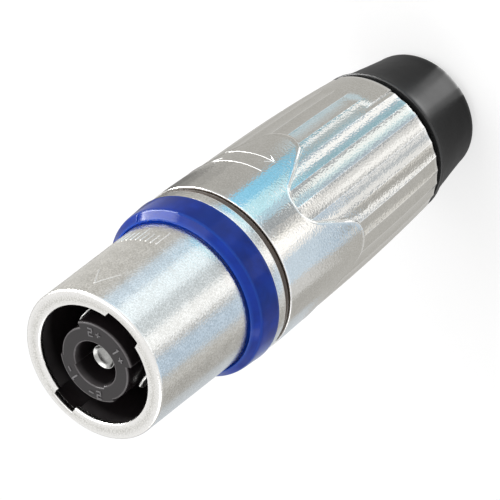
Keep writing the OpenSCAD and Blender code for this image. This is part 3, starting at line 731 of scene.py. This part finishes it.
@cache
def grip_column(column):
    """Radius and depth of one column's points, from the front edge to the rear and back inside."""
    angle = column * 360.0 / GRIP_STEPS
    from_panel = (angle + 45.0) % 90.0 - 45.0
    arch, steep = arch_line(from_panel)
    across = (column % FLUTE_COLUMNS) / FLUTE_COLUMNS * 2 - 1
    scoop = FLUTE_DEPTH * (1 - across ** 2)
    world = angle + ARCH_SHIFT
    on_pad = min(abs((world - PAD_AT - turn + 180) % 360 - 180) for turn in (0, 180)) < PAD_HALF + 0.1
    column_points = []
    for depth, inset, below, share in grip_rows(arch, steep):
        recess = below + scoop * share
        if on_pad:
            recess *= 1 - smooth_step((depth - PAD_FRONT) / PAD_FADE)
        column_points.append((body_radius(depth) - recess - inset, depth))
    return column_points + GRIP_INSIDE


def place_grip(row, column):
    """Radius, depth and angle of a point of the grip."""
    radius, depth = grip_column(column)[row]
    return radius, depth, math.radians(column * 360.0 / GRIP_STEPS + ARCH_SHIFT)


add_piece("grip_sleeve", shaped_tube(OUTER_ROWS + len(GRIP_INSIDE), GRIP_STEPS, place_grip), "grip",
          grip_nickel, ("grip_shell",), crease=17)

# Two turn arrows: depth, and the angles of the tip and the tail
TURN_ARROWS = ((41.18, -27.4, -66.0), (44.58, -66.6, -28.0))
BARB_RUN, BARB_SPREAD = 5.0, 0.92
arrow_bars = []
for depth, tip, tail in TURN_ARROWS:
    barb = tip + math.copysign(BARB_RUN, tail - tip)
    arrow_bars.append(((tail, depth), (tip, depth)))
    for lean in (-BARB_SPREAD, BARB_SPREAD):
        arrow_bars.append(((barb, depth + lean), (tip, depth)))
add_piece("turn_arrow_marks", wrap_bars(arrow_bars, 0.24, 0.04, body_radius), "grip", raised_nickel)


# Boot

# Rounding of the boot's end: its radius, and the radius and depth of its middle
BOOT_ROUND_R, BOOT_ROUND_IN, BOOT_ROUND_AT = 2.6, 8.0, 87.7
boot_outline = [
    (BOOT_HOLLOW_R, BOOT_FRONT), (GRIP_SEAT_R, BOOT_FRONT), (GRIP_SEAT_R, BEAD_FRONT), (BEAD_R, BEAD_FRONT),
    (BEAD_R, BEAD_BACK), (GRIP_SEAT_R, BEAD_BACK), (GRIP_SEAT_R, GRIP_END), (11.22, GRIP_END), (11.27, 75.3),
    (11.27, 76.3), (11.35, BOOT_AT), (12.42, BOOT_AT), (12.6, 76.44), (12.71, 76.55), (12.74, 76.72),
    (12.5, 77.3), (12.25, 78.2), (12.0, 79.3), (11.78, 80.5), (11.55, 81.9), (11.3, 83.3), (11.02, 85.0),
    (10.8, 86.4)]
for degrees in range(0, 91, 9):
    turn = math.radians(degrees)
    boot_outline.append((BOOT_ROUND_IN + BOOT_ROUND_R * math.cos(turn),
                         BOOT_ROUND_AT + BOOT_ROUND_R * math.sin(turn)))
boot_outline += [(7.65, TOTAL_LEN), (7.53, 90.2), (7.5, 90.05), (7.5, 85.4), (BOOT_HOLLOW_R, 84.3)]
add_piece("rubber_boot", lathe(boot_outline, 360, closed=True), "grip", boot_rubber,
          ("boot",), crease=40)


# Finishes of the pieces that stay as the solid model has them

CARRIED = {
    block_grey: ["terminal_block"],
    clamp_brass: ["clamp_1p", "clamp_1n", "clamp_2p", "clamp_2n"],
    spring_steel: ["screw_1p", "screw_1n", "screw_2p", "screw_2n", "boot_clip"],
    chuck_white: ["cable_chuck"],
    seal_rubber: ["gland_seal", "insert_seal"],
}
for finish, names in CARRIED.items():
    for name in names:
        for material_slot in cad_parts[name].material_slots:
            material_slot.material = finish


# Stage

# Glow of the floor and the world where they are seen, and the world's light on the part
FLOOR_GLOW, WORLD_SEEN, WORLD_LIGHT = 0.66, 1.0, 0.55


def stage_plane(name, size, z):
    """Square floor that isn't part of the object."""
    bm = bmesh.new()
    bmesh.ops.create_grid(bm, x_segments=1, y_segments=1, size=size / 2)
    bmesh.ops.translate(bm, vec=(0, 0, z), verts=bm.verts)
    mesh = bpy.data.meshes.new(name)
    bm.to_mesh(mesh)
    bm.free()
    plane = bpy.data.objects.new(name, mesh)
    bpy.context.scene.collection.objects.link(plane)
    return plane


def seen_rays(tree):
    """1 for camera, glossy and transmission rays."""
    path = tree.nodes.new("ShaderNodeLightPath")
    seen = math_node(tree, "ADD", path.outputs["Is Camera Ray"], path.outputs["Is Glossy Ray"])
    return math_node(tree, "ADD", seen, path.outputs["Is Transmission Ray"], clamp=True)


floor = stage_plane("studio_floor", 6.0, -0.0002)
paper, tree, shader = new_material("pale_floor_paper")
shader.inputs["Base Color"].default_value = (0.4, 0.4, 0.4, 1)
shader.inputs["Roughness"].default_value = 0.9
shader.inputs["Specular IOR Level"].default_value = 0.0
shader.inputs["Emission Color"].default_value = (1, 1, 1, 1)
tree.links.new(math_node(tree, "MULTIPLY", seen_rays(tree), FLOOR_GLOW), shader.inputs["Emission Strength"])
floor.data.materials.append(paper)

world = bpy.data.worlds.new("studio_world")
world.use_nodes = True
bpy.context.scene.world = world
tree = world.node_tree
background = tree.nodes["Background"]
background.inputs["Color"].default_value = (1, 1, 1, 1)
extra = math_node(tree, "MULTIPLY", seen_rays(tree), WORLD_SEEN - WORLD_LIGHT)
tree.links.new(math_node(tree, "ADD", extra, WORLD_LIGHT), background.inputs["Strength"])


LAMP_TARGET = Vector((0, 0, 0.05))


def area_lamp(name, place, size, power):
    """Square softbox that points at the middle of the part."""
    lamp = bpy.data.lights.new(name, "AREA")
    lamp.shape = "RECTANGLE"
    lamp.size, lamp.size_y = size, size
    lamp.energy = power
    obj = bpy.data.objects.new(name, lamp)
    obj.location = place
    obj.rotation_euler = (LAMP_TARGET - place).to_track_quat("-Z", "Y").to_euler()
    bpy.context.scene.collection.objects.link(obj)


def around(angle, radius, z):
    """Point at an angle from the side that faces the camera, clockwise as the mating face is seen."""
    turn = math.radians(FACING - angle)
    return Vector((radius * math.cos(turn), radius * math.sin(turn), z))


area_lamp("key_softbox", around(-70, 0.55, 0.75), size=0.8, power=4.2)
area_lamp("fill_softbox", around(110, 0.6, 0.5), size=0.5, power=1.2)

# Cards that lie around the foot, as a product photographer sets them, seen only in the gloss of the part.
# Each has the angles of the part's surface where it is seen, a colour and a strength. Its ring gives the
# distances from the axis.
RINGS = {"foot": (9, 20.5), "rear": (20.5, 31), "flutes": (31, 53), "arch": (53, 60), "sleeve": (60, 82),
         "barrel": (82, 260), "far": (260, 2400)}
WHITE, WARM, ROSY = (1.0, 1.0, 1.0), (1.0, 0.985, 0.95), (1.0, 0.985, 0.98)
COOL, CRISP, GLASSY = (0.88, 0.94, 1.0), (0.96, 0.98, 1.0), (0.95, 1.0, 1.0)
FROST, ICE, MIST, SPRAY = (0.92, 0.98, 1.0), (0.84, 0.96, 1.0), (0.86, 0.94, 1.0), (0.77, 0.92, 1.0)
POWDER_BLUE, PALE_BLUE, LIGHT_BLUE = (0.74, 0.87, 1.0), (0.72, 0.86, 1.0), (0.6, 0.84, 1.0)
PALE_SKY, SKY, PALE_CYAN = (0.72, 0.88, 1.0), (0.66, 0.82, 1.0), (0.76, 0.95, 1.0)
CYAN, DEEP_CYAN, TEAL, TURQUOISE = (0.34, 0.74, 1.0), (0.3, 0.72, 1.0), (0.55, 0.86, 1.0), (0.55, 0.88, 1.0)
FLUTE_CARDS = [
    (-90, -37.6, WARM, 0.6), (-37.6, -33.2, FROST, 0.72), (-33.2, -28.6, SPRAY, 0.92),
    (-28.6, -26.9, TEAL, 0.7), (-26.9, -22.5, ICE, 0.72), (-22.5, -20.4, WHITE, 1.45),
    (-20.4, -18.4, TEAL, 0.7), (-18.4, -15.6, TEAL, 0.8), (-15.6, -14, PALE_SKY, 0.82),
    (-14, -10.2, WHITE, 1.45), (-10.2, -7, PALE_BLUE, 0.75), (-7, -4.6, PALE_CYAN, 1.1),
    (-4.6, -1.1, GLASSY, 1.4), (-1.1, 1.2, COOL, 0.6), (1.2, 3, WHITE, 0.95), (3, 5.9, WHITE, 1.4),
    (5.9, 9.2, WHITE, 0.98), (9.2, 11.2, COOL, 0.56), (11.2, 15.2, WHITE, 1.15), (15.2, 18.6, COOL, 0.74),
    (18.6, 20.4, WHITE, 1.2), (20.4, 22.1, COOL, 0.64), (22.1, 24.6, WHITE, 1.45), (24.6, 30.5, WARM, 0.56),
    (30.5, 33.4, WARM, 1.0), (33.4, 90, WARM, 0.6)]
CARDS = {
    "barrel": [(-90, -78, WARM, 0.4), (-78, -31, WARM, 0.74), (-31, -20, PALE_BLUE, 1.15),
               (-20, -5.5, MIST, 1.5), (-5.5, 6, MIST, 1.0), (6, 17, CRISP, 1.45), (17, 22, WHITE, 0.75),
               (22, 36, SKY, 1.0), (36, 46, WARM, 0.72), (46, 61, WARM, 0.56), (61, 90, COOL, 0.78)],
    "sleeve": [(-90, -66, WARM, 0.25), (-66, -58, WARM, 0.34), (-58, -48, WARM, 0.48),
               (-48, -28, WARM, 0.57), (-28, -19, DEEP_CYAN, 1.2), (-19, -9, TURQUOISE, 1.3),
               (-9, -4.5, LIGHT_BLUE, 1.0), (-4.5, 2, COOL, 0.54), (2, 6, WHITE, 0.66), (6, 8.5, WARM, 1.2),
               (8.5, 15.5, ROSY, 1.6), (15.5, 19, WHITE, 1.2), (19, 34, POWDER_BLUE, 1.1),
               (34, 44, WHITE, 0.84), (44, 60, WARM, 0.56), (60, 90, COOL, 0.78)],
    "arch": [(-90, -27, WARM, 0.58), (-27, -18.4, CYAN, 1.0),
             *(card for card in FLUTE_CARDS if -18.4 <= card[0] < 15.2),
             (15.2, 34, SKY, 0.9), (34, 90, WARM, 0.6)],
    "flutes": FLUTE_CARDS,
    "rear": [(-90, -22.5, WARM, 0.6), *(card for card in FLUTE_CARDS if card[0] >= -22.5)],
    "foot": [(-90, -60, WHITE, 0.8), (-60, -12.5, WHITE, 0.33), (-12.5, -7.5, WHITE, 1.5),
             (-7.5, 2.5, WHITE, 2.6), (2.5, 6.5, WHITE, 1.2), (6.5, 60, WHITE, 0.27), (60, 90, WHITE, 0.7)],
    "far": [(-90, -40, WARM, 0.55), (40, 90, WARM, 0.55)],
}
# Near the foot the cards lean, so that their lines run along the flutes: shares of the angle at the near
# and the far end
LEAN = {"rear": (0.78, 0.92), "flutes": (0.92, 1.03), "arch": (1.03, 1.05)}
NO_LEAN = (1.0, 1.0)
CARD_HEIGHT = 0.0002


def add_card(name, first, last, near, far, height, colour, strength, lean=NO_LEAN):
    """Glowing card in the gloss between two angles of the surface. A mirror doubles an angle, so it lies at
    twice those angles round the foot."""
    bm = bmesh.new()
    ends = [bm.verts.new(around(2 * first, r * MM, height)) for r in (near, far)]
    edge = bm.edges.new(ends)
    bmesh.ops.spin(bm, geom=ends + [edge], cent=(0, 0, 0), axis=(0, 0, 1), dvec=(0, 0, 0),
                   angle=math.radians(-2 * (last - first)), steps=max(2, round((last - first) / 2)),
                   use_merge=False, use_duplicate=False)
    for vert in bm.verts:
        share = lean[0] if vert.co.xy.length < (near + far) / 2 * MM else lean[1]
        # The extra 0.05 keeps an end at -180 from turning into 180
        angle = (FACING - math.degrees(math.atan2(vert.co.y, vert.co.x)) + 180.05) % 360 - 180.05
        turn = Matrix.Rotation(math.radians(angle * (1 - share)), 3, "Z")
        bmesh.ops.rotate(bm, cent=(0, 0, 0), matrix=turn, verts=[vert])
    mesh = bpy.data.meshes.new(name)
    bm.to_mesh(mesh)
    bm.free()
    card = bpy.data.objects.new(name, mesh)
    bpy.context.scene.collection.objects.link(card)
    material = bpy.data.materials.new(name)
    material.use_nodes = True
    tree = material.node_tree
    tree.nodes.remove(tree.nodes["Principled BSDF"])
    glow = tree.nodes.new("ShaderNodeEmission")
    glow.inputs["Color"].default_value = (*colour, 1)
    glow.inputs["Strength"].default_value = strength
    tree.links.new(glow.outputs["Emission"], tree.nodes["Material Output"].inputs["Surface"])
    mesh.materials.append(material)
    card.visible_camera = False
    card.visible_diffuse = False
    card.visible_shadow = False
    card.visible_transmission = False
    return card


for ring, cards in CARDS.items():
    for i, (first, last, colour, strength) in enumerate(cards):
        add_card(f"card_{ring}_{i}", first, last, *RINGS[ring], CARD_HEIGHT, colour, strength,
                 LEAN.get(ring, NO_LEAN))

# Two upright cards at the left, which draw the long highlight on the ring: foot, top and strength
RING_CARDS = {"card_ring_edge": (0.015, 0.13, 22.0), "card_ring_slope": (0.13, 0.3, 9.0)}
CARD_NEAR, CARD_FAR = 480, 490
for name, (low, high, strength) in RING_CARDS.items():
    upright = add_card(name, -60, -39.5, CARD_NEAR, CARD_FAR, 0.0, WHITE, strength)
    for vert in upright.data.vertices:
        vert.co.z = low if vert.co.xy.length < (CARD_NEAR + CARD_FAR) / 2 * MM else high


# Camera at the photograph's angle

facing = Vector((math.cos(math.radians(FACING)), math.sin(math.radians(FACING)), 0))
side = Vector((-facing.y, facing.x, 0))
up = Vector((0, 0, 1))
camera_data = bpy.data.cameras.new("photo_camera")
camera_data.lens = 360.0
camera_data.sensor_width = 36.0
# Place from the middle of the mating face, along the facing, side and up directions
CAMERA_OUT, CAMERA_SIDE, CAMERA_UP = 585.56, -0.838, 489.93
camera = bpy.data.objects.new("photo_camera", camera_data)
place = (up * TOTAL_LEN + facing * CAMERA_OUT + side * CAMERA_SIDE + up * CAMERA_UP) * MM
# Right, up and back of the picture
axes = (facing * 0.5295 - side * 0.6144 - up * 0.5850,
        facing * 0.4123 + side * 0.7890 - up * 0.4555,
        facing * 0.7413 + up * 0.6711)
matrix = Matrix.Identity(4)
for column, axis in enumerate(axes):
    for row in range(3):
        matrix[row][column] = axis[row]
matrix.translation = place
camera.matrix_world = matrix
bpy.context.scene.collection.objects.link(camera)
bpy.context.scene.camera = camera

bpy.context.scene.view_settings.view_transform = "Standard"
